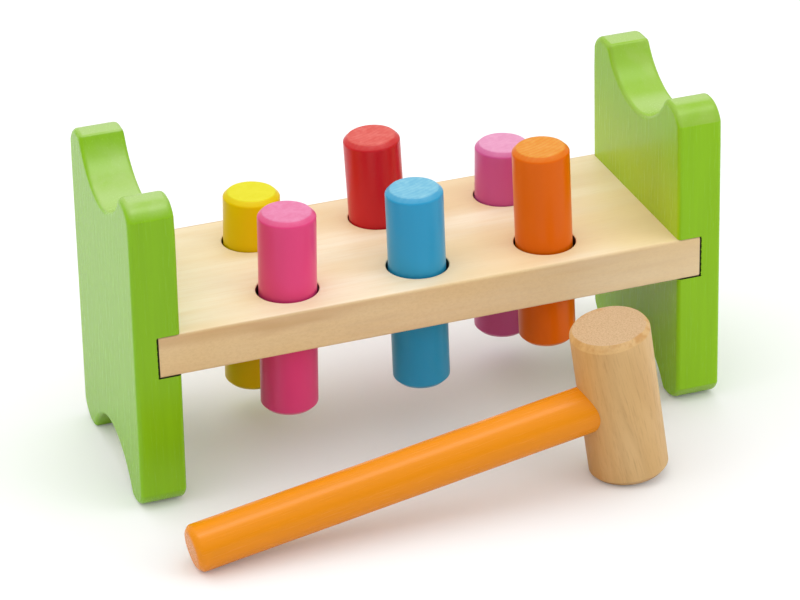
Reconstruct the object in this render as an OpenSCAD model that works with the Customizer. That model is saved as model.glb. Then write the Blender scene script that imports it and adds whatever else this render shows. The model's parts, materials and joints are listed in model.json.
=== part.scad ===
// Peg pounding bench with six wooden pegs and its hammer.
// +Z is up, +X runs along the plank, and the hammer lies on the front side, towards -Y.
// The origin is the middle of the set's footprint, on the table.

/* [End panels] */
// Clear length between the two end panels
bench_gap = 212; // [200:1:240]
// Depth of the bench, front to back
bench_d = 90; // [84:1:100]
// Thickness of an end panel
panel_t = 19; // [15:0.5:22]
// Height of an end panel
panel_h = 136; // [130:1:146]
// Radius of a panel's outer corners
corner_r = 11; // [6:0.5:13]
// Radius of the eased edge round a panel's faces
panel_edge_r = 1.75; // [1:0.25:3]
// Radius of the hand scallop in a panel's top
scallop_r = 34; // [30:0.5:38]
// Depth of the scallop below the panel's top
scallop_depth = 17.3; // [10:0.1:20]
// Radius of the arch between a panel's feet
arch_r = 34; // [30:0.5:38]
// Height of the arch above the table
arch_h = 17.3; // [10:0.1:20]

/* [Bench plank] */
// Thickness of the plank
plank_t = 17.6; // [15:0.1:21]
// Radius of the plank's long edges
plank_edge_r = 1; // [0.5:0.25:2]
// Depth of the housing groove that holds each end of the plank
groove_depth = 10.5; // [6:0.5:12]
// Gap between the plank's end and the bottom of its groove
groove_end_gap = 0.8; // [0.3:0.1:1.5]

/* [Pegs and holes] */
// Diameter of a peg
peg_d = 23.6; // [20:0.1:26]
// Length of a peg
peg_l = 86.5; // [76:0.5:92]
// Radius of a peg's rounded rims
peg_rim_r = 2; // [1:0.25:4]
// Gap all round between a peg and its hole
hole_play = 1.1; // [0.5:0.05:2]
// Bevel at the rims of a hole
hole_bevel = 0.6; // [0.3:0.1:1.2]
// Distance between hole centres along the plank
column_pitch = 55.5; // [45:0.1:60]
// Distance from the plank's long edges to the hole centres
hole_inset = 21.2; // [19:0.1:26]
// Height of the yellow peg above the plank
yellow_up = 21.4; // [20:0.1:50]
// Height of the pink peg above the plank
pink_up = 34; // [20:0.1:50]
// Height of the red peg above the plank
red_up = 37.4; // [20:0.1:50]
// Height of the blue peg above the plank
blue_up = 34.4; // [20:0.1:50]
// Height of the violet peg above the plank
violet_up = 23.5; // [20:0.1:50]
// Height of the orange peg above the plank
orange_up = 42.6; // [20:0.1:50]
// Lean of the yellow peg in its hole, in degrees towards the right end
yellow_lean = 2; // [-3:0.1:3]
// Lean of the pink peg in its hole, in degrees towards the right end
pink_lean = 1.4; // [-3:0.1:3]
// Lean of the red peg in its hole, in degrees towards the right end
red_lean = -2.4; // [-3:0.1:3]
// Lean of the blue peg in its hole, in degrees towards the right end
blue_lean = -1; // [-3:0.1:3]
// Lean of the violet peg in its hole, in degrees towards the right end
violet_lean = 0.9; // [-3:0.1:3]
// Lean of the orange peg in its hole, in degrees towards the right end
orange_lean = -1.8; // [-3:0.1:3]

/* [Friction rings] */
// Height of a friction ring
ring_h = 4; // [2.5:0.25:6]
// Depth of the seat that a ring lies in, beyond the wall of its hole
ring_seat = 2; // [1:0.25:4]
// Gap between a peg and the bore of its ring
ring_play = 0.05; // [0.02:0.01:0.1]
// Gap between a ring and the wall of its seat
seat_play = 0.05; // [0.02:0.01:0.1]

/* [Hammer] */
// Diameter of the hammer's head
head_d = 32.5; // [26:0.5:40]
// Length of the head, from face to face
head_l = 66.5; // [58:0.5:78]
// Bevel at the rims of the head's faces
head_bevel = 2.5; // [1:0.25:4]
// Diameter of the handle
handle_d = 19.5; // [14:0.25:22]
// Length of the handle, with the end inside the head
handle_l = 190.5; // [172:0.5:196]
// Radius of the handle's rounded ends
handle_rim_r = 2.5; // [1:0.25:5]
// Depth that the handle reaches past the middle of the head
handle_reach = 6; // [2:0.5:9]
// Glue gap between the handle and its hole in the head
glue_gap = 0.05; // [0.02:0.01:0.2]
// Distance from the bench's left end to the handle's free end
handle_inset = 4.6; // [2:0.2:20]
// Distance from the bench's front to the middle of the handle's free end
handle_out = 48.6; // [42:0.2:80]
// Turn of the hammer away from the bench's length, in degrees
hammer_turn = 2.2; // [0:0.1:6]

/* [Hidden] */
$fn = 96;
// Overrun of every cut past the face that it opens
over = 1;

// The holes lie in three columns and two rows
left = -1;
middle = 0;
right = 1;
front = -1;
back = 1;

// The plank sits at half the panels' height, so that the bench also works turned over
plank_mid_z = panel_h / 2;
plank_l = bench_gap + 2 * (groove_depth - groove_end_gap);
hole_out = bench_d / 2 - hole_inset;
hole_r = peg_d / 2 + hole_play;
ring_bore_r = peg_d / 2 + ring_play;
ring_seat_r = hole_r + ring_seat;

// The hammer stands on its head's lower rim and on the handle's free end.
// Both are level when head_drop * cos(lean) - run * sin(lean) equals handle_rim_r.
handle_to_head = handle_l - handle_reach;
head_drop = head_l / 2 - handle_d / 2 + handle_rim_r;
run = handle_to_head - handle_rim_r - head_d / 2 + head_bevel;
lean = acos(handle_rim_r / sqrt(head_drop * head_drop + run * run)) - atan2(run, head_drop);
handle_end_x = -bench_gap / 2 - panel_t + handle_inset;
handle_end_y = -bench_d / 2 - handle_out;
head_x = handle_end_x + handle_to_head * cos(lean) * cos(hammer_turn);
head_y = handle_end_y + handle_to_head * cos(lean) * sin(hammer_turn);
head_z = head_l / 2 * cos(lean) + (head_d / 2 - head_bevel) * sin(lean);

// The foremost points of the head and of the handle's free end
head_side = sin(lean) * sin(hammer_turn);
head_front = head_y - head_d / 2 * sqrt(1 - head_side * head_side)
    - (head_l / 2 - head_bevel) * head_side;
handle_side = cos(lean) * sin(hammer_turn);
handle_front = handle_end_y + handle_rim_r * handle_side - handle_rim_r
    - (handle_d / 2 - handle_rim_r) * sqrt(1 - handle_side * handle_side);

// Shift of the set in Y that brings the middle of its footprint to the origin
set_shift = -(min(head_front, handle_front) + bench_d / 2) / 2;

// Rectangle round the origin with a true arc at each corner
module rounded_rect(w, h, r) {
    square([w - 2 * r, h], center = true);
    square([w, h - 2 * r], center = true);
    for (i = [-1, 1], j = [-1, 1])
        translate([i * (w / 2 - r), j * (h / 2 - r)]) circle(r = r);
}

// Round bar along Z, centred, with rounded rims
module round_bar(d, l, r) {
    rotate_extrude()
        intersection() {
            rounded_rect(d, l, r);
            translate([0, -l / 2]) square([d / 2, l]);
        }
}

// A quarter of a disc with rounded rims, which fills the corner towards +Y and +Z
module panel_corner() {
    rotate([90, 0, 90])
        rotate_extrude(angle = 90)
            intersection() {
                rounded_rect(2 * corner_r, panel_t, panel_edge_r);
                translate([0, -panel_t / 2]) square([corner_r, panel_t]);
            }
}

// Panel blank with rounded corners and eased edges, centred on the origin
module panel_blank() {
    flat_d = bench_d - 2 * corner_r;
    flat_h = panel_h - 2 * corner_r;
    rotate([90, 0, 0])
        linear_extrude(flat_d, center = true) rounded_rect(panel_t, panel_h, panel_edge_r);
    linear_extrude(flat_h, center = true) rounded_rect(panel_t, bench_d, panel_edge_r);
    for (m = [0, 1], n = [0, 1])
        mirror([0, m, 0])
            mirror([0, 0, n])
                translate([0, flat_d / 2, flat_h / 2]) panel_corner();
}

// Round cutter along X that leaves a panel's edge eased on both faces
module eased_cutter(r) {
    rotate([0, 90, 0])
        rotate_extrude()
            difference() {
                translate([0, -panel_t / 2 - over])
                    square([r + panel_edge_r, panel_t + 2 * over]);
                translate([r + panel_t, 0]) rounded_rect(2 * panel_t, panel_t, panel_edge_r);
            }
}

// End panel whose inner face looks towards -X * side
module end_panel(side) {
    translate([side * (bench_gap + panel_t) / 2, set_shift, 0])
        difference() {
            translate([0, 0, panel_h / 2]) panel_blank();
            translate([0, 0, panel_h - scallop_depth + scallop_r]) eased_cutter(scallop_r);
            translate([0, 0, arch_h - arch_r]) eased_cutter(arch_r);
            translate([-side * (panel_t / 2 - groove_depth / 2 + over / 2), 0, plank_mid_z])
                cube([groove_depth + over, bench_d + 2 * over, plank_t], center = true);
        }
}

// Hole through the plank with bevelled rims and a seat for its ring, centred on the plank
module hole_cut() {
    cylinder(r = hole_r, h = plank_t + 2 * over, center = true);
    cylinder(r = ring_seat_r, h = ring_h, center = true);
    for (m = [0, 1])
        mirror([0, 0, m])
            translate([0, 0, plank_t / 2 - hole_bevel])
                cylinder(r1 = hole_r, r2 = hole_r + hole_bevel + over, h = hole_bevel + over);
}

// Puts its children at the middle of a hole
module at_hole(column, row) {
    translate([column * column_pitch, set_shift + row * hole_out, plank_mid_z]) children();
}

// Peg that leans in its hole, with its top at a height above the plank
module peg(column, row, up, lean_right) {
    at_hole(column, row)
        rotate([0, lean_right, 0])
            translate([0, 0, plank_t / 2 + up - peg_l / 2]) round_bar(peg_d, peg_l, peg_rim_r);
}

// Rubber ring in the wall of a hole, whose bore leans with the peg that it grips
module ring(column, row, lean_right) {
    at_hole(column, row)
        difference() {
            cylinder(r = ring_seat_r - seat_play, h = ring_h, center = true);
            rotate([0, lean_right, 0]) cylinder(r = ring_bore_r, h = ring_h + 2 * over, center = true);
        }
}

// Puts its children at the middle of the hammer's head, with the handle along -X
module at_hammer() {
    translate([head_x, head_y + set_shift, head_z])
        rotate([0, -lean, hammer_turn]) children();
}

module left_end_panel() {
    color("#82b52a") end_panel(-1);
}

module right_end_panel() {
    color("#82b52a") end_panel(1);
}

module bench_plank() {
    color("#e8cf9c")
        difference() {
            translate([-plank_l / 2, set_shift, plank_mid_z])
                rotate([90, 0, 90])
                    linear_extrude(plank_l) rounded_rect(bench_d, plank_t, plank_edge_r);
            for (column = [left, middle, right], row = [front, back])
                at_hole(column, row) hole_cut();
        }
}

module yellow_peg() {
    color("#e8d800") peg(left, back, yellow_up, yellow_lean);
}

module pink_peg() {
    color("#dc4c80") peg(left, front, pink_up, pink_lean);
}

module red_peg() {
    color("#be2026") peg(middle, back, red_up, red_lean);
}

module blue_peg() {
    color("#3e9dc8") peg(middle, front, blue_up, blue_lean);
}

module violet_peg() {
    color("#c0508c") peg(right, back, violet_up, violet_lean);
}

module orange_peg() {
    color("#e0660f") peg(right, front, orange_up, orange_lean);
}

module yellow_peg_ring() {
    color("#2b2b2d") ring(left, back, yellow_lean);
}

module pink_peg_ring() {
    color("#2b2b2d") ring(left, front, pink_lean);
}

module red_peg_ring() {
    color("#2b2b2d") ring(middle, back, red_lean);
}

module blue_peg_ring() {
    color("#2b2b2d") ring(middle, front, blue_lean);
}

module violet_peg_ring() {
    color("#2b2b2d") ring(right, back, violet_lean);
}

module orange_peg_ring() {
    color("#2b2b2d") ring(right, front, orange_lean);
}

// Head turned from one piece, with bevelled faces and a blind hole for the handle
module hammer_head() {
    color("#d2ac78")
        at_hammer()
            difference() {
                rotate_extrude()
                    polygon([
                        [0, -head_l / 2],
                        [head_d / 2 - head_bevel, -head_l / 2],
                        [head_d / 2, head_bevel - head_l / 2],
                        [head_d / 2, head_l / 2 - head_bevel],
                        [head_d / 2 - head_bevel, head_l / 2],
                        [0, head_l / 2]
                    ]);
                translate([handle_reach, 0, 0])
                    rotate([0, -90, 0])
                        cylinder(r = handle_d / 2 + glue_gap, h = handle_reach + head_d / 2 + over);
            }
}

module hammer_handle() {
    color("#f0941e")
        at_hammer()
            translate([handle_reach - handle_l / 2, 0, 0])
                rotate([0, 90, 0]) round_bar(handle_d, handle_l, handle_rim_r);
}

left_end_panel();
right_end_panel();
bench_plank();
yellow_peg();
pink_peg();
red_peg();
blue_peg();
violet_peg();
orange_peg();
yellow_peg_ring();
pink_peg_ring();
red_peg_ring();
blue_peg_ring();
violet_peg_ring();
orange_peg_ring();
hammer_head();
hammer_handle();
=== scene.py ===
import json
import math
import bpy
import numpy as np
from mathutils import Matrix, Vector


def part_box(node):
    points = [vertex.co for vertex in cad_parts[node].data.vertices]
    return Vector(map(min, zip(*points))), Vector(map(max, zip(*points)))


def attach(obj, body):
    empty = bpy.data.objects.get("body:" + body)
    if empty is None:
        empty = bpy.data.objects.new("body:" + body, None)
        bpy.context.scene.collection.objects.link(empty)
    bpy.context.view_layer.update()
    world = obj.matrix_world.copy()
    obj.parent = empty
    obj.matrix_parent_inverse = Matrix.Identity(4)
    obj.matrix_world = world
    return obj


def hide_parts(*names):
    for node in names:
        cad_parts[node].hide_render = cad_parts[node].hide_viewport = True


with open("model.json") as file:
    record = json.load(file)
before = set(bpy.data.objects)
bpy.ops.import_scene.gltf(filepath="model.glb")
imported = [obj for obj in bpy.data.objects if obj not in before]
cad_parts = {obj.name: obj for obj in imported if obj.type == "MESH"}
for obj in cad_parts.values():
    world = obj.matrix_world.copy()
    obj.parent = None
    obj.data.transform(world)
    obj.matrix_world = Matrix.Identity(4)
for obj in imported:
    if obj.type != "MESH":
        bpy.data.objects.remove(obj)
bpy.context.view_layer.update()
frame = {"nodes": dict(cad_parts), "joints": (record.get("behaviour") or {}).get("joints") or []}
mm = 0.001
print("frame loaded:", len(frame["nodes"]), "nodes")


# Places read from the frame
def boxOf(nodeName):
    low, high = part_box(nodeName)
    return np.array(low), np.array(high)


leftLow, leftHigh = boxOf("left_end_panel")
rightLow, rightHigh = boxOf("right_end_panel")
plankLow, plankHigh = boxOf("bench_plank")
plankMiddle = (plankLow + plankHigh) / 2
benchMiddle = (leftLow + rightHigh) / 2
slideAxis = {joint["child"]: np.array(joint["axis"], float) for joint in frame["joints"]}


# Meshes from grids of points

def addObject(name, data):
    made = bpy.data.objects.new(name, data)
    bpy.context.scene.collection.objects.link(made)
    return made


# Puts a grid of points into a mesh. Row i, column j of the grid is one vertex, and each row
# is a closed ring. A pole closes the first or last ring with a fan of triangles. With closed
# rows the last ring joins the first, as on a tyre.
def gridPiece(name, grid, firstPole=None, lastPole=None, closedRows=False):
    rows, columns = grid.shape[:2]
    ids = np.arange(rows * columns).reshape(rows, columns)
    lower = ids if closedRows else ids[:-1]
    upper = np.roll(ids, -1, axis=0) if closedRows else ids[1:]
    quads = np.stack([lower, np.roll(lower, -1, 1), np.roll(upper, -1, 1), upper], -1)
    faces = quads.reshape(-1, 4).tolist()
    points = grid.reshape(-1, 3)
    for pole, ring, flip in ((firstPole, ids[0], True), (lastPole, ids[-1], False)):
        if pole is not None:
            tip = np.full(columns, len(points))
            points = np.vstack([points, pole])
            fan = np.stack([np.roll(ring, -1), ring, tip], -1)
            faces += (fan if flip else fan[:, ::-1]).tolist()
    mesh = bpy.data.meshes.new(name)
    mesh.from_pydata(points.tolist(), [], faces)
    mesh.validate()
    mesh.shade_smooth()
    piece = addObject(name, mesh)
    faceOutwards(piece)
    return piece


# Turns every face outwards: six times the volume is the sum over the triangles of
# a . (b x c), and where it is negative the whole mesh is flipped.
def faceOutwards(piece):
    mesh = piece.data
    mesh.calc_loop_triangles()
    corners = np.empty(len(mesh.loop_triangles) * 3, int)
    mesh.loop_triangles.foreach_get("vertices", corners)
    points = np.empty(len(mesh.vertices) * 3)
    mesh.vertices.foreach_get("co", points)
    a, b, c = points.reshape(-1, 3)[corners.reshape(-1, 3)].transpose(1, 0, 2)
    if np.einsum("ij,ij->", a, np.cross(b, c)) < 0:
        mesh.flip_normals()


# Points of an arc in a plane: middle + radius * (cos, sin) of angles given in degrees.
def arc(middle, radius, start, stop, count):
    turn = np.radians(np.linspace(start, stop, count))
    return np.stack([middle[0] + radius * np.cos(turn), middle[1] + radius * np.sin(turn)], -1)


# The axis at unit length, and the directions from it to the points of a circle round it:
# cos t * sideA + sin t * sideB, where the sides are square to the axis and to each other.
def spokesOf(axis, segments):
    axis = axis / np.linalg.norm(axis)
    sideA = np.cross((0.0, 1.0, 0.0), axis)
    sideA /= np.linalg.norm(sideA)
    turn = np.linspace(0, 2 * np.pi, segments, endpoint=False)
    return axis, np.cos(turn)[:, None] * sideA + np.sin(turn)[:, None] * np.cross(axis, sideA)


# A turned solid. The point at row i and angle t is centre + axis * along + radius * spoke,
# where along and radius are given for each row, or for each row and angle.
def turnedPiece(name, along, radius, centre, axis, segments=128):
    axis, spokes = spokesOf(axis, segments)
    along, radius = (np.broadcast_to(np.reshape(values, (len(values), -1)), (len(values), segments))
                     for values in (along, radius))
    grid = centre + along[..., None] * axis + radius[..., None] * spokes
    ends = [centre + along[row].mean() * axis for row in (0, -1)]
    return gridPiece(name, grid, *ends)


# The grid of a board across X. Half its rings are given as (outline, x), from the middle of
# a face outwards and then to the board's middle; the other half mirrors them.
def boardGrid(rings):
    rings = rings + [(paintedTopLight, -x) for paintedTopLight, x in rings[::-1]]
    return np.stack([np.column_stack([np.broadcast_to(x, len(paintedTopLight)), paintedTopLight]) for paintedTopLight, x in rings])


# The profile of a round bar as (along, radius): a flat face, a rim turned at 45 degrees whose
# two corners are eased by arcs, the straight side up to the bar's middle, and then the same
# mirrored.
def barProfile(look):
    half, outer, rim, ease = look["length"] / 2, look["diameter"] / 2, look["rim"], look["ease"]
    reach = ease * math.tan(math.pi / 8)
    faceRadius = outer - rim - reach
    share = np.linspace(0.15, 0.97, 6)
    face = np.stack([np.full(len(share), -half), faceRadius * share], -1)
    turn = np.linspace(0, np.pi / 4, 7)
    inner = np.stack([-half + ease * (1 - np.cos(turn)), faceRadius + ease * np.sin(turn)], -1)
    turn = turn + np.pi / 4
    outside = np.stack([-half + rim + reach - ease * np.cos(turn), outer - ease + ease * np.sin(turn)], -1)
    share = np.concatenate([[0.03, 0.08], np.linspace(0.2, 1, 6)])
    side = np.stack([(-half + rim + reach) * (1 - share), np.full(len(share), outer)], -1)
    lower = np.concatenate([face, inner, outside, side])
    return np.concatenate([lower, (lower * (-1, 1))[::-1][1:]])


# Carving, marks and dressing

# Cuts the cutters out of a piece, keeps the result as the piece's mesh and removes the
# cutters. Edges sharper than the angle in degrees stay crisp.
def carve(piece, cutters, crispAngle=38):
    for cutter in cutters:
        cut = piece.modifiers.new("cut", "BOOLEAN")
        cut.operation = "DIFFERENCE"
        cut.solver = "EXACT"
        cut.object = cutter
    bpy.context.view_layer.update()
    solved = piece.evaluated_get(bpy.context.evaluated_depsgraph_get())
    carved = bpy.data.meshes.new_from_object(solved)
    piece.modifiers.clear()
    piece.data = carved
    carved.name = piece.name
    for cutter in cutters:
        bpy.data.objects.remove(cutter)
    carved.shade_smooth()
    carved.set_sharp_from_angle(angle=math.radians(crispAngle))
    weigh = piece.modifiers.new("even shading", "WEIGHTED_NORMAL")
    weigh.keep_sharp = True
    weigh.weight = 80


# Marks end grain on a mesh by the normal's part along the fibres: 1 where the surface is cut
# square across them, 0 where it follows them.
def markEndGrain(piece, fibreAxis):
    mesh = piece.data
    normals = np.empty(len(mesh.loops) * 3)
    mesh.corner_normals.foreach_get("vector", normals)
    across = np.abs(normals.reshape(-1, 3) @ (np.array(fibreAxis, float) / np.linalg.norm(fibreAxis)))
    mark = mesh.attributes.new("endGrain", "FLOAT", "CORNER")
    mark.data.foreach_set("value", across.astype(np.float32))


# Marks the faces inside a groove or a bore with 1, the open ones with 0. The test takes the
# faces' middles and answers which of them are inside.
def markHidden(piece, test):
    mesh = piece.data
    middles = np.empty(len(mesh.polygons) * 3)
    mesh.polygons.foreach_get("center", middles)
    mark = mesh.attributes.new("hidden", "FLOAT", "FACE")
    mark.data.foreach_set("value", test(middles.reshape(-1, 3)).astype(np.float32))


# Puts a finished piece in the place of its node.
def dress(piece, material, body, nodeName):
    piece.data.materials.clear()
    piece.data.materials.append(material)
    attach(piece, body)
    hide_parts(nodeName)


# Camera
camera = {
    "place": (-0.4256, -1.2211, 0.7259),  # metres from the middle of the bench on the table
    "heading": 19.2355,  # degrees from +Y towards +X
    "tilt": -27.6186,  # degrees above the level
    "roll": -1.4708,
    "lens": 158.52,  # millimetres, as the sensor's width
    "sensor": 36,
    "near": 0.05,
    "far": 50,
}
cameraObject = addObject("camera", bpy.data.cameras.new("camera"))
cameraObject.data.lens = camera["lens"]
cameraObject.data.sensor_width = camera["sensor"]
cameraObject.data.clip_start = camera["near"]
cameraObject.data.clip_end = camera["far"]
aim = (Matrix.Rotation(math.radians(-camera["heading"]), 4, "Z")
       @ Matrix.Rotation(math.radians(90 + camera["tilt"]), 4, "X")
       @ Matrix.Rotation(math.radians(camera["roll"]), 4, "Z"))
benchOnTable = Vector((benchMiddle[0], benchMiddle[1], 0))
cameraObject.matrix_world = Matrix.Translation(benchOnTable + Vector(camera["place"])) @ aim
bpy.context.scene.camera = cameraObject
print("camera placed")


# Nodes of the materials

# A colour written as the eye sees it, turned into the linear values of a shader.
def eyeColour(code):
    parts = [int(code[i:i + 2], 16) / 255 for i in (1, 3, 5)]
    return tuple(p / 12.92 if p <= 0.04045 else ((p + 0.055) / 1.055) ** 2.4 for p in parts) + (1,)


# A node with its settings. An input is a plain value or another node's socket.
def addNode(tree, kind, inputs=None, **settings):
    made = tree.nodes.new(kind)
    for key, value in settings.items():
        setattr(made, key, value)
    for key, value in (inputs or {}).items():
        if isinstance(value, bpy.types.NodeSocket):
            tree.links.new(value, made.inputs[key])
        else:
            made.inputs[key].default_value = value
    return made


# a and b joined by the operation, for numbers and then for vectors.
def maths(tree, operation, a, b=0.0, clamp=False):
    return addNode(tree, "ShaderNodeMath", {0: a, 1: b}, operation=operation, use_clamp=clamp).outputs[0]


def vectorMaths(tree, operation, a, b):
    return addNode(tree, "ShaderNodeVectorMath", {0: a, 1: b}, operation=operation).outputs[0]


# a * (1 - share) + b * share
def mixColour(tree, share, a, b):
    return addNode(tree, "ShaderNodeMix", {0: share, 6: a, 7: b}, data_type="RGBA").outputs[2]


# A smooth step: the value's way from low to high becomes newLow to newHigh. Noise lies round
# 0.5, so limits near 0.3 and 0.7 make a mask that is neither flat nor hard.
def remap(tree, value, low, high, newLow=0.0, newHigh=1.0):
    inputs = {0: value, 1: low, 2: high, 3: newLow, 4: newHigh}
    return addNode(tree, "ShaderNodeMapRange", inputs, interpolation_type="SMOOTHSTEP").outputs[0]


# Fractal noise of a vector in metres, with the scale per metre.
def noiseAt(tree, vector, scale, detail=3.0, roughness=0.5, warp=0.0):
    inputs = {"Vector": vector, "Scale": scale, "Detail": detail, "Roughness": roughness, "Distortion": warp}
    return addNode(tree, "ShaderNodeTexNoise", inputs).outputs[0]


# The vector times a factor for each axis: a factor under 1 draws a pattern out along it.
def stretched(tree, vector, factors):
    return vectorMaths(tree, "MULTIPLY", vector, factors)


def lengthOf(tree, vector):
    return addNode(tree, "ShaderNodeVectorMath", {0: vector}, operation="LENGTH").outputs["Value"]


def partsOf(tree, vector):
    return addNode(tree, "ShaderNodeSeparateXYZ", {0: vector}).outputs


# The point's place in the shared frame, in metres.
def objectPlace(tree):
    return addNode(tree, "ShaderNodeTexCoord").outputs["Object"]


# Object coordinates moved to a piece's own centre and turned so that X runs along its fibres.
def fibreSpace(tree, centre, fibreAxis):
    turn = Vector((1, 0, 0)).rotation_difference(Vector(fibreAxis)).to_euler()
    inputs = {"Vector": objectPlace(tree), "Location": tuple(centre), "Rotation": tuple(turn)}
    return addNode(tree, "ShaderNodeMapping", inputs, vector_type="TEXTURE").outputs[0]


# The node tree of a material or world, with nothing in it.
def emptyTree(owner):
    owner.use_nodes = True
    owner.node_tree.nodes.clear()
    return owner.node_tree


# A new material with a Principled shader on its output.
def startMaterial(name):
    material = bpy.data.materials.new(name)
    tree = emptyTree(material)
    shader = tree.nodes.new("ShaderNodeBsdfPrincipled")
    addNode(tree, "ShaderNodeOutputMaterial", {"Surface": shader.outputs[0]})
    return material, tree, shader


# Gives a surface its colour and roughness, a relief from the height, and its index of refraction.
def setSurface(tree, shader, colour, roughness, height, strength, depth, ior):
    tree.links.new(colour, shader.inputs["Base Color"])
    tree.links.new(roughness, shader.inputs["Roughness"])
    relief = addNode(tree, "ShaderNodeBump", {"Height": height, "Strength": strength, "Distance": depth})
    tree.links.new(relief.outputs[0], shader.inputs["Normal"])
    shader.inputs["IOR"].default_value = ior


# Grain, shared by bare and painted wood
grainLook = {
    # how far each mask is drawn out: its scale along the fibres, as a share of that across
    "fineAlong": 0.045,
    "cloudAlong": 0.35,
    "bendAlong": 0.22,
    "flecksAlong": 0.16,
    # scales of streaks and flecks, as shares of the fibres' scale
    "streaksScale": 0.22,
    "flecksScale": 0.55,
    # scales of the slow noises, per metre
    "cloudScale": 34,
    "bendScale": 26,
    "ringPower": 2.2,  # narrows the dark rings
    "flecksFrom": (0.6, 0.74),
}


# The vector is in metres with X along the fibres. Every mask is noise drawn out along
# the fibres; the rings are a sine of the distance from the pith, bent by slow noise.
def grainGroup():
    look = grainLook
    tree = bpy.data.node_groups.new("woodGrain", "ShaderNodeTree")
    masks = ("Fibres", "Streaks", "Cloud", "Rings", "Flecks")
    for side, kind, labels in (("INPUT", "NodeSocketVector", ("Vector", "Pith")),
                               ("INPUT", "NodeSocketFloat", ("Fibre Scale", "Ring Spacing", "Ring Bend")),
                               ("OUTPUT", "NodeSocketFloat", masks)):
        for label in labels:
            tree.interface.new_socket(label, in_out=side, socket_type=kind)
    given, result = tree.nodes.new("NodeGroupInput").outputs, tree.nodes.new("NodeGroupOutput").inputs
    vector, fibreScale = given["Vector"], given["Fibre Scale"]

    def drawnOut(along):
        return stretched(tree, vector, (along, 1, 1))

    fine = drawnOut(look["fineAlong"])
    fibres = noiseAt(tree, fine, fibreScale, 4, 0.65)
    streaks = noiseAt(tree, fine, maths(tree, "MULTIPLY", fibreScale, look["streaksScale"]), 3, 0.55)
    cloud = noiseAt(tree, drawnOut(look["cloudAlong"]), look["cloudScale"], 2)
    fromPith = vectorMaths(tree, "SUBTRACT", vector, given["Pith"])
    distance = lengthOf(tree, stretched(tree, fromPith, (0, 1, 1)))
    slow = noiseAt(tree, drawnOut(look["bendAlong"]), look["bendScale"], 2)
    bend = maths(tree, "MULTIPLY", maths(tree, "SUBTRACT", slow, 0.5), given["Ring Bend"])
    phase = maths(tree, "DIVIDE", maths(tree, "ADD", distance, bend), given["Ring Spacing"])
    wave = maths(tree, "SINE", maths(tree, "MULTIPLY", phase, 2 * math.pi))
    rings = maths(tree, "POWER", remap(tree, wave, -1, 1), look["ringPower"])
    fleckScale = maths(tree, "MULTIPLY", fibreScale, look["flecksScale"])
    short = noiseAt(tree, drawnOut(look["flecksAlong"]), fleckScale, 1, 0.4)
    flecks = remap(tree, short, *look["flecksFrom"])
    for label, socket in zip(masks, (fibres, streaks, cloud, rings, flecks)):
        tree.links.new(socket, result[label])
    return tree


woodGrain = grainGroup()


# The group's masks for one piece, whose grain gives the other inputs.
def grainIn(tree, vector, grain):
    return addNode(tree, "ShaderNodeGroup", {"Vector": vector} | grain, node_tree=woodGrain).outputs


# How far the surface is end grain, between two limits of the mark on the mesh.
def endShare(tree, low, high):
    mark = addNode(tree, "ShaderNodeAttribute", attribute_name="endGrain").outputs["Fac"]
    return remap(tree, mark, low, high)


cutShade = {"strength": 0.93, "colour": (0.012, 0.01, 0.008, 1)}


# Deep inside a cut hardly any light comes in: the colour falls to near black by the mark.
def inShade(tree, colour):
    mark = addNode(tree, "ShaderNodeAttribute", attribute_name="hidden").outputs["Fac"]
    return mixColour(tree, maths(tree, "MULTIPLY", mark, cutShade["strength"]), colour, cutShade["colour"])


# What all paints share
underPaint = {
    "grain": {"Fibre Scale": 1500.0, "Ring Spacing": 2.1 * mm, "Ring Bend": 3 * mm,
              "Pith": (0, 40 * mm, 16 * mm)},
    "fibreShare": 0.25,  # part of the fine fibres in the lines that show, the rest is streaks
    "paleGain": 0.8,  # times the contrast, how much paler the pale lines are
    "paleLift": 0.01,  # the same, added to them
    "roughGain": 0.6,  # the same, for roughness
    "cloudShare": 0.4,  # how far slow noise wipes the lines out
    "paintedTopLightFrom": (0.94, 1),  # limits of end grain for the painted top light, a paler tone painted on flat tops
    "depth": 0.1 * mm,
}
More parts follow.
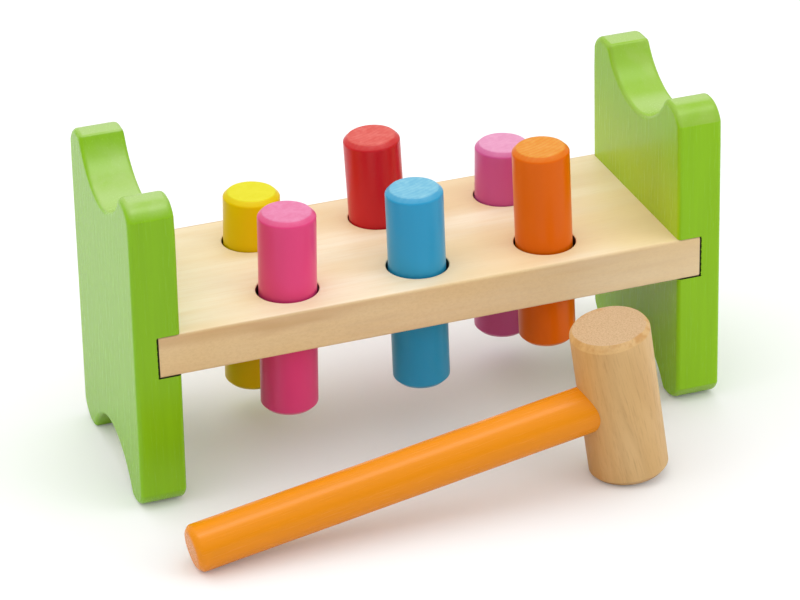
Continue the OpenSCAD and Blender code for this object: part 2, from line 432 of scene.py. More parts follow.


# Satin paint or stain over wood: the fibres show as slightly paler and darker lines. On
# end grain the paint is paler, patchy by slow noise and striped by the growth rings; on the
# panels' tops and scallops and the pegs' tops and rims this paler tone is partly painted
# light, where light and sheen fall on faces that turn upwards. A touch changes the colour of
# the sides last. A look may name a painted top light, a still paler tone painted where the
# cut is quite square to the fibres, as on the flat tops that face the light.
def paintedWood(name, look, centre, fibreAxis, touch=None):
    material, tree, shader = startMaterial(name)
    vector = fibreSpace(tree, centre, fibreAxis)
    grain = grainIn(tree, vector, underPaint["grain"])
    share = underPaint["fibreShare"]
    lines = maths(tree, "ADD", maths(tree, "MULTIPLY", grain["Fibres"], share),
                  maths(tree, "MULTIPLY", grain["Streaks"], 1 - share))
    base, contrast = eyeColour(look["side"]), look["contrast"]
    darker = tuple(c * (1 - contrast) for c in base[:3]) + (1,)
    gain, lift = 1 + contrast * underPaint["paleGain"], contrast * underPaint["paleLift"]
    paler = tuple(min(1, c * gain + lift) for c in base[:3]) + (1,)
    lined = mixColour(tree, remap(tree, lines, 0.28, 0.72), darker, paler)
    side = mixColour(tree, remap(tree, grain["Cloud"], 0.3, 0.7, 0, underPaint["cloudShare"]), lined, base)
    if touch:
        side = touch(tree, side)
    patches = noiseAt(tree, vector, look["patchScale"], 3, 0.6, 0.4)
    patchy = remap(tree, patches, 0.36, 0.66)
    # end-grain paint, partly painted light: paler on upturned panel faces and on peg tops and rims
    end = mixColour(tree, patchy, eyeColour(look["end"]), eyeColour(look["endPale"]))
    end = mixColour(tree, maths(tree, "MULTIPLY", grain["Rings"], look["stripes"]), end, base)
    # painted top light: a paler tone where the face is square to the fibres, as on the panels' flat tops
    if "paintedTopLight" in look:
        end = mixColour(tree, endShare(tree, *underPaint["paintedTopLightFrom"]), end, eyeColour(look["paintedTopLight"]))
    painted = mixColour(tree, endShare(tree, *look["endFrom"]), side, end)
    smooth = look["roughness"]
    roughness = remap(tree, grain["Fibres"], 0.25, 0.75, smooth, smooth + contrast * underPaint["roughGain"])
    setSurface(tree, shader, inShade(tree, painted), roughness, lines,
               look["relief"], underPaint["depth"], look["ior"])
    return material


# Bare sanded wood: growth rings, streaks and short flecks between three tones. The touch
# is a last change of the colour that only one piece has.
def bareWood(name, look, centre, fibreAxis, touch):
    material, tree, shader = startMaterial(name)
    grain = grainIn(tree, fibreSpace(tree, centre, fibreAxis), look["grain"])
    middle, dark = eyeColour(look["middle"]), eyeColour(look["dark"])
    colour = mixColour(tree, remap(tree, grain["Cloud"], 0.32, 0.68), eyeColour(look["pale"]), middle)
    colour = mixColour(tree, maths(tree, "MULTIPLY", grain["Rings"], look["rings"]), colour, dark)
    colour = mixColour(tree, remap(tree, grain["Streaks"], 0.35, 0.7, 0, look["streaks"]), colour, middle)
    colour = mixColour(tree, maths(tree, "MULTIPLY", grain["Flecks"], look["flecks"]), colour, dark)
    colour = mixColour(tree, remap(tree, grain["Fibres"], 0.5, 0.72, 0, look["fibres"]), colour, dark)
    colour = inShade(tree, touch(tree, colour))
    smooth, coarse = look["roughness"]
    roughness = remap(tree, grain["Fibres"], 0.25, 0.75, smooth, coarse)
    setSurface(tree, shader, colour, roughness, grain["Fibres"], look["relief"], look["depth"], look["ior"])
    return material


print("wood grain ready")

# Pegs and their rings
pegLook = {
    "diameter": 23.6 * mm,
    "length": 87 * mm,
    "lift": 0.5 * mm,
    "rim": 2.0 * mm,
    "ease": 1.3 * mm,
    "endFrom": (0.55, 0.99),
    "contrast": 0.01,
    "patchScale": 260,
    "roughness": 0.28,
    "relief": 0.005,
    # each peg's side, its rims and ends where the grain drinks the paint and which are also
    # painted paler as light and sheen fall on them, paler patches there, the strength of the
    # growth rings that show through, and the gloss as an index of refraction
    "paint": {
        "yellow": {"side": "#EDC600", "end": "#DED61C", "endPale": "#E1DA2A", "stripes": 0.08, "ior": 1.2},
        "pink": {"side": "#E6437F", "end": "#DF77A1", "endPale": "#E387AE", "stripes": 0.05, "ior": 1.35},
        "red": {"side": "#CD1C25", "end": "#D6544A", "endPale": "#DE6A60", "stripes": 0.2, "ior": 1.34},
        "blue": {"side": "#2A9CCB", "end": "#70B7D3", "endPale": "#84C3D8", "stripes": 0.2, "ior": 1.35},
        "violet": {"side": "#D05694", "end": "#DF92B8", "endPale": "#E49DC0", "stripes": 0.05, "ior": 1.35},
        "orange": {"side": "#E46700", "end": "#E0922B", "endPale": "#E39D40", "stripes": 0.3, "ior": 1.25},
    },
}
ringLook = {
    "gap": 0.05 * mm,
    "lipRadius": 0.6 * mm,
    "rubber": "#1F1F21",
    "dust": "#3A3936",
    "dustScale": 900,
    "roughness": (0.6, 0.75),
    "relief": 0.2,
    "depth": 0.05 * mm,
    "ior": 1.5,
}


# A peg is a turned bar along its own slide's axis.
def pegPiece(colour):
    low, high = boxOf(colour + "_peg")
    axis = slideAxis[colour + "_peg"]
    centre = (low + high) / 2 + axis * pegLook["lift"]
    peg = turnedPiece(colour + "_painted_peg", *barProfile(pegLook).T, centre, axis)
    markEndGrain(peg, axis)
    paint = paintedWood(colour + "_peg_paint", pegLook | pegLook["paint"][colour], centre, axis)
    dress(peg, paint, colour + "_peg", colour + "_peg")


# A ring's section is a rectangle with rounded corners, carried round the hole. Each level of
# it slides sideways by height times the lean of its peg.
def ringPiece(colour, rubber):
    low, high = boxOf(colour + "_peg_ring")
    centre, outer = (low + high) / 2, (high[0] - low[0]) / 2
    inner = pegLook["diameter"] / 2 + ringLook["gap"]
    halfTall, radius = (high[2] - low[2]) / 2, ringLook["lipRadius"]
    section = np.concatenate([arc((x, z), radius, start, start + 90, 6) for x, z, start in (
        (outer - radius, halfTall - radius, 0), (inner + radius, halfTall - radius, 90),
        (inner + radius, radius - halfTall, 180), (outer - radius, radius - halfTall, 270))])
    outwards, height = section[:, 0, None, None], section[:, 1, None, None]
    _, spokes = spokesOf(np.array([0, 0, 1.0]), 96)
    lean = slideAxis[colour + "_peg"] / slideAxis[colour + "_peg"][2]
    grid = centre + outwards * spokes + height * lean
    ring = gridPiece(colour + "_rubber_ring", grid, closedRows=True)
    dress(ring, rubber, "bench", colour + "_peg_ring")


# Matt rubber, dusty by fine noise.
def rubberMaterial():
    material, tree, shader = startMaterial("ring_rubber")
    dust = noiseAt(tree, objectPlace(tree), ringLook["dustScale"], 3, 0.6)
    dusty = remap(tree, dust, 0.4, 0.7, 0, 0.3)
    colour = mixColour(tree, dusty, eyeColour(ringLook["rubber"]), eyeColour(ringLook["dust"]))
    roughness = remap(tree, dust, 0.3, 0.7, *ringLook["roughness"])
    setSurface(tree, shader, colour, roughness, dust, ringLook["relief"], ringLook["depth"], ringLook["ior"])
    return material


rubber = rubberMaterial()
pegNames = tuple(pegLook["paint"])
for colour in pegNames:
    pegPiece(colour)
    ringPiece(colour, rubber)
print("pegs painted, rings seated")


# Plank
plankLook = {
    "edgeRadius": 1.2 * mm,
    "endEase": 0.3 * mm,
    "upwards": 0.45 * mm,  # how far this board is thicker than the CAD's
    "backwards": 0.8 * mm,  # how far it stands out behind the panels
    # the gap round each peg in its hole
    "holeGap": {"yellow": 0.4 * mm, "pink": 1.0 * mm, "red": 0.75 * mm,
                "blue": 1.05 * mm, "violet": 0.45 * mm, "orange": 1.0 * mm},
    "holeEase": 0.45 * mm,
    "flareAngle": 72,  # degrees of the arc that eases a hole's rim
    "seatHeight": 4 * mm,
    "seatRadius": 14.9 * mm,
    "pale": "#FCEED2",
    "middle": "#F0D5A4",
    "dark": "#C39A62",
    "grain": {"Fibre Scale": 1700.0, "Ring Spacing": 11 * mm, "Ring Bend": 30 * mm,
              "Pith": (0, 20 * mm, -90 * mm)},
    "rings": 0.07,
    "streaks": 0.36,
    "fibres": 0.06,
    "flecks": 0.05,
    "roughness": (0.35, 0.48),
    "relief": 0.3,
    "depth": 0.1 * mm,
    "ior": 1.4,
    # the sawn long sides are browner than the planed faces
    "edgeTone": "#E3C28C",
    "edgeDark": "#C3935A",
    "edgeFrom": (1.1 * mm, 0.3 * mm),  # how deep under the side the brown begins and is full
    "mottle": 0.26,
    "mottleScale": 1900,
    "driftScale": 120,
    "bandDrift": 12 * mm,
    "bandFrom": (2 * mm, 6.5 * mm),  # heights above the middle between which the band begins
    # two places along the plank, and the strength there of the band and of the paler tone
    "bandAlong": (-60 * mm, 30 * mm, 0.6, 0.1),
    "paleAlong": (-60 * mm, 100 * mm, 0.2, 0.45),
}


# The plank is a rectangle with rounded corners, carried along X. At both ends its section
# shrinks by a quarter circle.
def plankPiece():
    low, high = plankLow, plankHigh + np.array([0, plankLook["backwards"], plankLook["upwards"]])
    centre, half = (low + high) / 2, (high - low) / 2

    def section(inset):
        wide, tall, radius = half[1] - inset, half[2] - inset, plankLook["edgeRadius"] - inset
        corners = [arc((sideY * (wide - radius), sideZ * (tall - radius)), radius, start, start + 90, 8)
                   for sideY, sideZ, start in ((1, 1, 0), (-1, 1, 90), (-1, -1, 180), (1, -1, 270))]
        outline = []
        for corner, following in zip(corners, corners[1:] + corners[:1]):
            straight = following[0] - corner[-1]
            outline += [corner, corner[-1] + straight * np.array([0.03, 0.5, 0.97])[:, None]]
        return np.concatenate(outline)

    ease = plankLook["endEase"]
    rings = [(section(ease) * share, half[0]) for share in (0.2, 0.7, 0.97)]
    rings += [(section(ease * (1 - math.cos(turn))), half[0] - ease * (1 - math.sin(turn)))
              for turn in np.linspace(np.pi / 2, 0, 4)]
    rings += [(section(0), half[0] * share) for share in (0.98, 0.5)]
    tip = np.array([half[0], 0, 0])
    return gridPiece("sanded_plank", centre + boardGrid(rings), centre + tip, centre - tip)


# Where a peg's axis crosses the middle of the plank.
def holeCentre(colour):
    low, high = boxOf(colour + "_peg_ring")
    return (low + high) / 2


# A hole's cutter is turned: the bore, a flare that rounds the rim at both faces and the
# wider seat of the ring in the middle.
def holeCutter(colour):
    bore = pegLook["diameter"] / 2 + plankLook["holeGap"][colour]
    ease = plankLook["holeEase"]
    half = (plankHigh[2] - plankLow[2]) / 2
    turn = np.radians(np.linspace(0, plankLook["flareAngle"], 8))
    flare = np.stack([half - ease + ease * np.sin(turn), bore + ease * (1 - np.cos(turn))], -1)
    overrun = 0.5 * mm
    past = flare[-1] + np.array([1, math.tan(turn[-1])]) * overrun
    seat, wide = plankLook["seatHeight"] / 2, plankLook["seatRadius"]
    upper = np.vstack([[(seat, wide), (seat, bore)], flare, past])
    lower = (upper * (-1, 1))[::-1]
    upper[2:, 0] += plankLook["upwards"]
    along, radius = np.vstack([lower, upper]).T
    return turnedPiece("holeCutter", along, radius, holeCentre(colour), np.array([0, 0, 1.0]), 120)


# Which points lie in the plank's holes under the eased rim, or on its ends in the grooves.
def insidePlank(points):
    margin = 0.2 * mm
    halfLong = (plankHigh[0] - plankLow[0]) / 2
    holes = np.array([holeCentre(colour)[:2] for colour in pegNames])
    nearest = np.linalg.norm(points[:, None, :2] - holes, axis=2).min(1)
    deep = np.minimum(points[:, 2] - plankLow[2], plankHigh[2] + plankLook["upwards"] - points[:, 2])
    ended = np.abs(points[:, 0] - plankMiddle[0]) > halfLong - margin
    return ended | ((nearest < plankLook["seatRadius"] + margin) & (deep > plankLook["holeEase"] * 0.9))


# Browns the plank's long sides: a step of the distance from the middle plane. They have a
# mottle of short strokes, a dark band that drifts by slow noise and lies near the upper
# edge of the left half, and a paler tone to the right.
def brownEdges(tree, colour):
    look = plankLook
    vector = fibreSpace(tree, plankMiddle, (1, 0, 0))
    along, across, up = partsOf(tree, vector)
    half = (plankHigh[1] - plankLow[1]) / 2
    onSide = remap(tree, maths(tree, "ABSOLUTE", across), *(half - depth for depth in look["edgeFrom"]))
    strokes = noiseAt(tree, stretched(tree, vector, (0.4, 1, 0.7)), look["mottleScale"], 4, 0.7)
    slow = noiseAt(tree, stretched(tree, vector, (0.12, 1, 1)), look["driftScale"], 2, 0.5, 0.5)
    drift = maths(tree, "MULTIPLY", maths(tree, "SUBTRACT", slow, 0.5), look["bandDrift"])
    upper = remap(tree, maths(tree, "ADD", up, drift), *look["bandFrom"])
    band = maths(tree, "MULTIPLY", upper, remap(tree, along, *look["bandAlong"]))
    band = maths(tree, "ADD", band, remap(tree, slow, 0.5, 0.72, 0, 0.3), clamp=True)
    tone = mixColour(tree, band, eyeColour(look["edgeTone"]), eyeColour(look["edgeDark"]))
    tone = mixColour(tree, remap(tree, strokes, 0.4, 0.66, 0, look["mottle"]), tone, eyeColour(look["dark"]))
    tone = mixColour(tree, remap(tree, along, *look["paleAlong"]), tone, colour)
    return mixColour(tree, onSide, colour, tone)


plank = plankPiece()
carve(plank, [holeCutter(colour) for colour in pegNames])
markHidden(plank, insidePlank)
plankWood = bareWood("plank_wood", plankLook, plankMiddle, (1, 0, 0), brownEdges)
dress(plank, plankWood, "bench", "bench_plank")
print("plank bored and sanded")


# End panels
panelLook = {
    "creaseWidth": 0.25 * mm,
    "notchDepth": 17.3 * mm,  # the scallop above and the arch below
    "edgeGrowsFrom": 17 * mm,  # under the horns the sanded edge starts to widen
    "edgeGrowsOver": 12 * mm,
    "grooveDepth": 10.5 * mm,
    "grooveSlack": 0.2 * mm,  # shadow line under the plank
    "grooveOver": 0.02 * mm,  # the same above it
    "tornTeeth": 0.6 * mm,  # ragged paint at the groove's bottom
    "tornWave": (6600, 900),  # radians per metre of height and of depth
    "tornSlowWave": (2300, 310),
    "warm": "#A8CE00",  # the inner faces close above the plank
    "warmReach": (4 * mm, 52 * mm),  # above the plank, from full to none
    "warmFade": (0.1 * mm, 0.8 * mm),  # behind the face, the same
    "contrast": 0.05,
    "stripes": 0,
    "patchScale": 70,
    "roughness": 0.25,
    "relief": 0.04,
    "ior": 1.33,
    # How each board stands: its height under the CAD's, its twist about the upright and its
    # lean in degrees. The four numbers are for back horn, front horn, front foot and back
    # foot: the corner's radius, the angle in degrees at which its arc meets the side in a
    # faint crease, the notch's radius, and the radii of the eased cusp and of the sanded
    # edge, all in mm. Each board has its own end-grain tones, and these are partly painted
    # light: its tops and scallops are painted paler where light and sheen fall on them.
    "boards": {
        "left": {"short": 1.9 * mm, "twist": -0.77, "lean": 0.7,
                 "corner": (11.5, 11, 11.5, 11.5), "crease": (22, 28, 22, 22), "notch": (32, 34, 34, 34),
                 "cusp": (1.8, 6.5, 2.0, 3.5), "edge": (2.2, 2.8, 1.75, 1.75),
                 "paint": {"side": "#87BD12", "end": "#9CC455", "endPale": "#A8C86D", "paintedTopLight": "#ABCA76",
                           "endFrom": (0.42, 0.98)}},
        "right": {"short": 1.1 * mm, "twist": 0, "lean": -0.4,
                  "corner": (9.5, 11.5, 11.5, 11.5), "crease": (20, 22, 22, 22), "notch": (32, 34, 34, 34),
                  "cusp": (2.2, 5.5, 2.0, 2.0), "edge": (2.3, 2.1, 1.75, 1.75),
                  "paint": {"side": "#8FC60D", "end": "#93BF3A", "endPale": "#9CC24C", "paintedTopLight": "#ABCA70",
                            "endFrom": (0.22, 0.44)}},
    },
}
panelDeep = leftHigh[1] - leftLow[1]
panelThick = leftHigh[0] - leftLow[0]


# A quarter of the panel's outline about its centre, from the middle of the long side to the
# bottom of the notch: line, corner arc, flat top, cusp's arc, notch arc. With an inset
# every line moves inwards by it, outer arcs shrink by it and the notch arc grows by it. The
# cusp's arc shrinks too, but a sharp cusp is rounded more and more towards the flat faces.
def panelQuarter(inset, tallHalf, corner, crease, notch, cusp):
    wide, tall = panelDeep / 2 - inset, tallHalf - inset
    cornerAt = (panelDeep / 2 - corner * math.cos(math.radians(crease)), tallHalf - corner)
    corner -= inset
    meets = math.acos((wide - cornerAt[0]) / corner)
    notchMiddle = tallHalf - panelLook["notchDepth"] + notch
    notch += inset
    ease = max(cusp - inset, 2 * inset)
    drop = notchMiddle - (tall - ease)
    easeAt = math.sqrt((notch + ease) ** 2 - drop ** 2)
    kink = np.array([wide, cornerAt[1] + corner * math.sin(meets)])
    before = kink - (0, panelLook["creaseWidth"] / 2)
    turned = math.degrees(meets + panelLook["creaseWidth"] / 2 / corner)
    bow = arc(cornerAt, corner, turned, 90, 18)
    side = np.stack([np.full(14, wide), np.linspace(0, before[1], 14)], -1)
    top = np.stack([np.linspace(cornerAt[0], easeAt, 6)[1:-1], np.full(4, tall)], -1)
    slope = math.degrees(math.atan2(drop, easeAt))
    return np.concatenate([
        side,
        [0.5 * kink + 0.25 * (before + bow[0])],  # the crease, half cut away
        bow,
        top,
        arc((easeAt, tall - ease), ease, 90, 180 - slope, 9),
        arc((0, notchMiddle), notch, -slope, -90, 30)[1:],
    ])


# The four quarters joined into one closed outline. Whatever is given for each quarter is
# joined in the same way by its own four values.
def joinQuarters(backUp, frontUp, frontDown, backDown):
    upper = np.concatenate([backUp, frontUp[::-1][1:]])
    lower = np.concatenate([frontDown, backDown[::-1][1:]])
    return np.concatenate([upper, lower[1:-1]])


# The whole outline: each quarter with its own radii, flipped into its place.
def panelOutline(inset, tallHalf, stance):
    quarters = [panelQuarter(inset, tallHalf, corner * mm, crease, notch * mm, cusp * mm) * flip
                for corner, crease, notch, cusp, flip in zip(
                    stance["corner"], stance["crease"], stance["notch"], stance["cusp"],
                    ((1, 1), (-1, 1), (-1, -1), (1, -1)))]
    return joinQuarters(*quarters)


# The panel is its outline carried across the thickness. On the flat faces the outline
# shrinks towards the centre, and at the edges its inset follows a quarter circle whose
# radius grows towards the horns by a smooth step of the height. Then the board is twisted
# and leant: x grows by the twist times -y and by the lean times height.
def panelPiece(name, low, high, stance):
    tallHalf = (high[2] - low[2] - stance["short"]) / 2
    centre = np.array([(low[0] + high[0]) / 2, (low[1] + high[1]) / 2, low[2] + tallHalf])
    insetStep, insetCount = 0.4 * mm, 9
    outlines = np.stack([panelOutline(row * insetStep, tallHalf, stance) for row in range(insetCount)])
    flatHeight = np.abs(outlines[0][:, 1])
    quarterCount = (len(flatHeight) + 4) // 4  # neighbouring quarters share a point
    plain = min(stance["edge"]) * mm
    wanted = joinQuarters(*(np.full(quarterCount, edge * mm) for edge in stance["edge"]))
    near = (flatHeight - tallHalf + panelLook["edgeGrowsFrom"]) / panelLook["edgeGrowsOver"]
    near = np.clip(near, 0, 1)
    edge = plain + (wanted - plain) * near * near * (3 - 2 * near)

    # the outline at an inset of its own for each point, between the two nearest ones
    def outlineAt(inset):
        place = inset / insetStep
        row = place.astype(int)
        share = (place - row)[:, None]
        column = np.arange(len(row))
        return outlines[row, column] * (1 - share) + outlines[row + 1, column] * share

    half = panelThick / 2
    face = outlineAt(edge)
    rings = [(face * share, half) for share in (0.12, 0.35, 0.6, 0.8, 0.92, 0.975)]
    rings += [(outlineAt(edge * (1 - math.cos(turn))), half - edge * (1 - math.sin(turn)))
              for turn in np.linspace(np.pi / 2, 0, 10)]
    rings += [(outlines[0], (half - edge) * share) for share in (0.93, 0.4)]
    grid = boardGrid(rings)
    grid[..., 0] -= math.radians(stance["twist"]) * grid[..., 1]
    grid[..., 0] += math.radians(stance["lean"]) * grid[..., 2]
    tip = np.array([half, 0, 0])
    return gridPiece(name, centre + grid, centre + tip, centre - tip)


# The groove's cutter is its cross-section carried from front to back. Its bottom is ragged:
# the depth is varied by two sines of the height whose phase slides with the depth.
def grooveCutter(faceX, inwards):
    look, overrun = panelLook, 2 * mm
    low = plankLow[2] - look["grooveSlack"]
    high = plankHigh[2] + plankLook["upwards"] + look["grooveOver"]
    heights = np.linspace(low, high, 101)
    stations = np.linspace(leftLow[1] - overrun, leftHigh[1] + overrun, 9)
    wave, slowWave = (np.sin(heights * look[key][0] + stations[:, None] * look[key][1])
                      for key in ("tornWave", "tornSlowWave"))
    depths = look["grooveDepth"] - look["tornTeeth"] * (0.5 + 0.5 * wave) * (0.6 + 0.4 * slowWave)
    bottom = np.stack([faceX - inwards * depths, np.broadcast_to(stations[:, None], depths.shape),
                       np.broadcast_to(heights, depths.shape)], -1)
    mouth = [np.stack([np.full_like(stations, faceX + inwards * overrun), stations,
                       np.full_like(stations, z)], -1)[:, None] for z in (high, low)]
    grid = np.concatenate([bottom, *mouth], axis=1)
    middle = np.array([faceX - inwards * look["grooveDepth"] / 2, 0, (low + high) / 2])
    ends = [middle + np.array([0, y, 0]) for y in (stations[0], stations[-1])]
    return gridPiece("grooveCutter", grid, *ends)


# Which points lie in the groove: past the mouth, no deeper than its bottom, level with the
# plank and not at its open ends.
def insideGroove(points, faceX, inwards):
    margin = 1 * mm
    depth = (faceX - points[:, 0]) * inwards
    deep = (depth > 1.5 * margin) & (depth < panelLook["grooveDepth"] + 1.5 * margin)
    level = (points[:, 2] > plankLow[2] - margin) & (points[:, 2] < plankHigh[2] + margin)
    between = (points[:, 1] > leftLow[1] + margin) & (points[:, 1] < leftHigh[1] - margin)
    return deep & level & between


# The plank throws warm light on the inner faces. The paint is yellower there by a step of the
# height above the plank, as far as the faces are flat.
def warmAbovePlank(tree, colour):
    along, _, up = partsOf(tree, objectPlace(tree))
    fromMiddle = maths(tree, "ABSOLUTE", maths(tree, "SUBTRACT", along, benchMiddle[0]))
    faceAt, plankTop = benchMiddle[0] - leftHigh[0], plankHigh[2]
    inside = remap(tree, fromMiddle, *(faceAt + fade for fade in panelLook["warmFade"]), 1, 0)
    above = remap(tree, up, *(plankTop + reach for reach in panelLook["warmReach"]), 1, 0)
    above = maths(tree, "MULTIPLY", above, maths(tree, "GREATER_THAN", up, plankTop))
    return mixColour(tree, maths(tree, "MULTIPLY", inside, above), colour, eyeColour(panelLook["warm"]))


for side, low, high, faceX, inwards in (
    ("left", leftLow, leftHigh, leftHigh[0], 1),
    ("right", rightLow, rightHigh, rightLow[0], -1),
):
    stance = panelLook["boards"][side]
    panel = panelPiece(side + "_painted_panel", low, high, stance)
    carve(panel, [grooveCutter(faceX, inwards)], 30)
    markEndGrain(panel, (0, 0, 1))
    markHidden(panel, lambda points: insideGroove(points, faceX, inwards))
    look = panelLook | stance["paint"]
    paint = paintedWood(side + "_panel_paint", look, (low + high) / 2, (0, 0, 1), warmAbovePlank)
    dress(panel, paint, "bench", side + "_end_panel")
print("end panels carved and painted")


# Hammer
handleLook = {
    "diameter": 19.5 * mm,
    "length": 190.5 * mm,
    "rim": 2.0 * mm,
    "ease": 2.3 * mm,
    "reach": 6 * mm,  # how far its bore goes past the head's middle
    "glueGap": 0.05 * mm,
    "side": "#ED8F07",
    "end": "#E5861C",
    "endPale": "#E89030",
    "stripes": 0.15,
    "endFrom": (0.8, 0.98),
    "contrast": 0.03,
    "patchScale": 400,
    "roughness": 0.26,
    "relief": 0.05,
    "ior": 1.33,
}
headLook = {
    "diameter": 32.5 * mm,
    "length": 66.5 * mm,
    "bevel": 1.55 * mm,
    "bevelUneven": 0.95 * mm,
    "bevelWidestAt": 4.25,  # radians round the axis
    "bevelRipple": 0.12,
    "bevelEase": 0.3 * mm,
    "pale": "#E2BE88",
    "middle": "#D6AD72",
    "dark": "#A2733D",
    "bevelTone": "#C58E4C",
    "endTone": "#D2B087",
    "handleReflectionTone": "#D08F36",  # painted reflection: the orange handle's light on the head's flank
    "handleReflectionShare": 0.42,
    "handleReflectionFrom": (-1, -0.3),  # how far along the handle's line that begins and ends, in radii
    "skew": 0.11,  # how far the fibres run off the axis
    "grain": {"Fibre Scale": 1500.0, "Ring Spacing": 7 * mm, "Ring Bend": 45 * mm,
              "Pith": (0, 11 * mm, 19 * mm)},
    "rings": 0.15,
    "streaks": 0.6,
    "fibres": 0.28,
    "flecks": 0.14,
    "endFrom": (0.86, 0.97),
    "pores": 0.55,
    "poreScale": 1500,
    "torn": 0.75,  # how strongly the bevels are amber where the fibres tore
    "tornScale": 130,
    "tornLength": (1.7, 0.9),  # where that begins and is full, in bevels from the face
    "tornRadius": (1.7, 1.2),  # the same, from the side
    "roughness": (0.4, 0.53),
    "relief": 0.3,
    "depth": 0.1 * mm,
    "ior": 1.4,
}
headLow, headHigh = boxOf("hammer_head")
handleLow, handleHigh = boxOf("hammer_handle")
headCentre, handleCentre = (headLow + headHigh) / 2, (handleLow + handleHigh) / 2
handleAxis = (headCentre - handleCentre) / np.linalg.norm(headCentre - handleCentre)
headAxis = np.array([0, 0, 1.0]) - handleAxis * handleAxis[2]
headAxis /= np.linalg.norm(headAxis)


# The head's radius is constant but for a bevel at each face, with both its corners eased. The
# bevel's width changes slowly round the rim as a sine of the angle, as on a hand-fed lathe.
def headPiece():
    look = headLook
    outer, half, ease = look["diameter"] / 2, look["length"] / 2, look["bevelEase"]
    turn = np.linspace(0, 2 * np.pi, 160, endpoint=False)
    uneven = np.cos(turn - look["bevelWidestAt"]) + look["bevelRipple"] * np.sin(3 * turn + 2)
    width = look["bevel"] + look["bevelUneven"] * uneven
    faceRadius = outer - width
    sag = ease * 0.4
    eased = np.linspace(0, 1, 5)
    rows = [(half, faceRadius * share) for share in (0.12, 0.4, 0.7, 0.9, 0.98)]
    rows += [(half - sag * share ** 2, faceRadius + ease * share) for share in eased]
    rows += [(half - width * share, faceRadius + width * share) for share in (0.25, 0.5, 0.75)]
    rows += [(half - width - ease * share, outer - sag * (1 - share) ** 2) for share in eased]
    rows += [(half - width - depth, outer) for depth in (1 * mm, 8 * mm)]
    rows += [(-along, radius) for along, radius in rows[::-1]]
    along, radius = (np.stack([np.broadcast_to(row[k], turn.shape) for row in rows]) for k in (0, 1))
    return turnedPiece("turned_head", along, radius, headCentre, headAxis, len(turn))


# The bore for the handle goes from outside the head to a little past the head's middle.
def boreCutter():
    overrun = 2 * mm
    long = headLook["diameter"] / 2 + handleLook["reach"] + overrun
    middle = headCentre + handleAxis * (handleLook["reach"] - long / 2)
    radius = handleLook["diameter"] / 2 + handleLook["glueGap"]
    return turnedPiece("boreCutter", [-long / 2, long / 2], [radius, radius], middle, handleAxis)


# The head's flank towards the handle is tinted orange by a step of the distance that way: a
# painted reflection of the orange handle. Its end grain is paler and stippled with pores, and
# its bevels, where the tool tore the fibres, are amber in places: a step of the radius and of
# the distance along the axis.
def touchHead(tree, colour):
    look = headLook
    half, outer, bevel = look["length"] / 2, look["diameter"] / 2, look["bevel"]
    towardsHandle = partsOf(tree, fibreSpace(tree, headCentre, handleAxis))[0]
    # painted reflection: orange light from the handle, thrown on the head's flank
    handleReflection = remap(tree, towardsHandle, *(outer * share for share in look["handleReflectionFrom"]), look["handleReflectionShare"], 0)
    colour = mixColour(tree, handleReflection, colour, eyeColour(look["handleReflectionTone"]))
    square = fibreSpace(tree, headCentre, headAxis)
    pores = remap(tree, noiseAt(tree, square, look["poreScale"], 4, 0.75), 0.4, 0.68, 0, look["pores"])
    dotted = mixColour(tree, pores, eyeColour(look["endTone"]), eyeColour(look["dark"]))
    ended = mixColour(tree, endShare(tree, *look["endFrom"]), colour, dotted)
    along = maths(tree, "ABSOLUTE", partsOf(tree, square)[0])
    radius = lengthOf(tree, stretched(tree, square, (0, 1, 1)))
    byLength = remap(tree, along, *(half - bevel * share for share in look["tornLength"]))
    byRadius = remap(tree, radius, *(outer - bevel * share for share in look["tornRadius"]))
    patches = noiseAt(tree, stretched(tree, square, (0.5, 1, 1)), look["tornScale"], 3, 0.6)
    torn = remap(tree, patches, 0.46, 0.62, 0, look["torn"])
    share = maths(tree, "MULTIPLY", maths(tree, "MULTIPLY", byLength, byRadius), torn)
    return mixColour(tree, share, ended, eyeColour(look["bevelTone"]))


head = headPiece()
carve(head, [boreCutter()])
markEndGrain(head, headAxis)
headFibres = headAxis - headLook["skew"] * handleAxis
headWood = bareWood("head_wood", headLook, headCentre, headFibres, touchHead)
dress(head, headWood, "hammer", "hammer_head")

handle = turnedPiece("stained_handle", *barProfile(handleLook).T, handleCentre, handleAxis)
markEndGrain(handle, handleAxis)
stain = paintedWood("handle_stain", handleLook, handleCentre, handleAxis)
dress(handle, stain, "hammer", "hammer_handle")
print("hammer turned and glued")


# Table, lights and background
overhead = {"place": (-0.105, 1.076, 1.0), "target": (-0.105, 1.076, 0), "size": (2.5, 1.4), "turn": 65.9}
studio = {
    "floorSize": 14.0,
    "floorWhite": 0.83,
    "floorLift": 0.105,  # added for the camera, so that the table runs out to white
    "farLift": 0.3,  # the same, far from the object
    "liftReach": (0.5, 2.5),  # metres between which the one becomes the other
    "skyLow": 0.03,  # light of the sky at the horizon
    "skyHigh": 1.24,  # what it gains towards the zenith
    "skyRise": (0.1, 0.8),  # sines of the elevations between which it gains that
    "skyGloss": 0.6,
    # each soft box: its place from the middle of the bench and what it looks at in metres, its
    # size, its turn about its own axis in degrees and its power; gloss mirrors those that are
    # mirrored, and only the others light dull surfaces
    "boxes": {
        "over": overhead | {"power": 5.0, "mirrored": False},
        "sheen": overhead | {"power": 15.0, "mirrored": True},
        "left": {"place": (-1.6, -0.1, 0.6), "target": (0, 0, 0.05), "size": (1.0, 1.0),
                 "turn": 0, "power": 4.2, "mirrored": False},
        "strip": {"place": (0.12, -0.2, 1.2), "target": (0.12, -0.2, 0), "size": (1.1, 0.42),
                  "turn": 0, "power": 5.0, "mirrored": True},
        "right": {"place": (1.3, -1.0, 0.8), "target": (0, 0, 0.05), "size": (1.0, 1.0),
                  "turn": 0, "power": 6.7, "mirrored": False},
    },
}


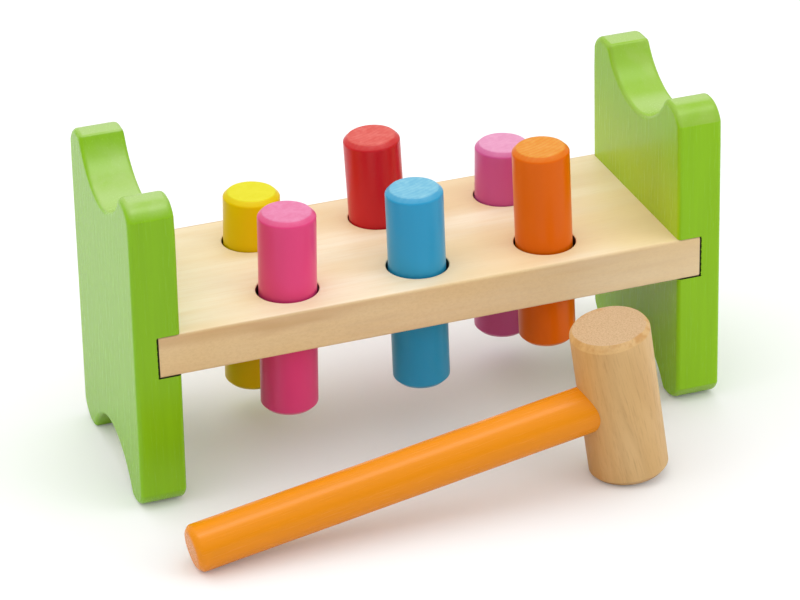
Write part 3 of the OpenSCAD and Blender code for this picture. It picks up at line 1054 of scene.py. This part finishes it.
# A white table. For the camera it also glows a little, more with the distance from the object.
def floorPiece():
    half = studio["floorSize"] / 2
    mesh = bpy.data.meshes.new("studio_floor")
    corners = [(x * half, y * half, 0) for x, y in ((-1, -1), (1, -1), (1, 1), (-1, 1))]
    mesh.from_pydata(corners, [], [(0, 1, 2, 3)])
    floor = addObject("studio_floor", mesh)
    material = bpy.data.materials.new("studio_floor")
    tree = emptyTree(material)
    path = addNode(tree, "ShaderNodeLightPath")
    away = lengthOf(tree, objectPlace(tree))
    lift = remap(tree, away, *studio["liftReach"], studio["floorLift"], studio["farLift"])
    lift = maths(tree, "MULTIPLY", path.outputs["Is Camera Ray"], lift)
    white = (studio["floorWhite"],) * 3 + (1,)
    paper = addNode(tree, "ShaderNodeBsdfDiffuse", {"Color": white})
    glow = addNode(tree, "ShaderNodeEmission", {"Color": (1, 1, 1, 1), "Strength": lift})
    both = addNode(tree, "ShaderNodeAddShader", {0: paper.outputs[0], 1: glow.outputs[0]})
    addNode(tree, "ShaderNodeOutputMaterial", {"Surface": both.outputs[0]})
    mesh.materials.append(material)


# A sky that lights by a smooth step of the elevation, is even in gloss and white for the camera.
def skyWorld():
    world = bpy.data.worlds.new("studio_sky")
    bpy.context.scene.world = world
    tree = emptyTree(world)
    path = addNode(tree, "ShaderNodeLightPath")
    direction = addNode(tree, "ShaderNodeTexCoord").outputs["Generated"]
    rise = remap(tree, partsOf(tree, direction)[2], *studio["skyRise"], 0, studio["skyHigh"])
    light = maths(tree, "ADD", rise, studio["skyLow"])
    gloss = maths(tree, "MULTIPLY", path.outputs["Is Glossy Ray"], studio["skyGloss"])
    dull = maths(tree, "SUBTRACT", 1, path.outputs["Is Glossy Ray"])
    seen = maths(tree, "ADD", maths(tree, "MULTIPLY", light, dull), gloss)
    clear = maths(tree, "MAXIMUM", path.outputs["Is Camera Ray"], path.outputs["Is Transmission Ray"])
    strength = maths(tree, "MAXIMUM", seen, clear)
    sky = addNode(tree, "ShaderNodeBackground", {"Color": (1, 1, 1, 1), "Strength": strength})
    addNode(tree, "ShaderNodeOutputWorld", {"Surface": sky.outputs[0]})


# A lamp of the box's size that hangs at its place and looks at its target.
def softBox(name, box):
    light = bpy.data.lights.new(name + "_box", "AREA")
    light.shape = "RECTANGLE"
    light.size, light.size_y = box["size"]
    light.energy = box["power"]
    lamp = addObject(name + "_box", light)
    place, target = Vector(box["place"]), Vector(box["target"])
    aim = (place - target).to_track_quat("Z", "Y").to_matrix().to_4x4()
    turn = Matrix.Rotation(math.radians(box["turn"]), 4, "Z")
    lamp.matrix_world = Matrix.Translation(benchOnTable + place) @ aim @ turn
    lamp.visible_camera = False
    lamp.visible_diffuse = not box["mirrored"]
    lamp.visible_glossy = box["mirrored"]


floorPiece()
skyWorld()
for name, box in studio["boxes"].items():
    softBox(name, box)
bpy.context.scene.view_settings.view_transform = "Standard"
print("table and lights set")
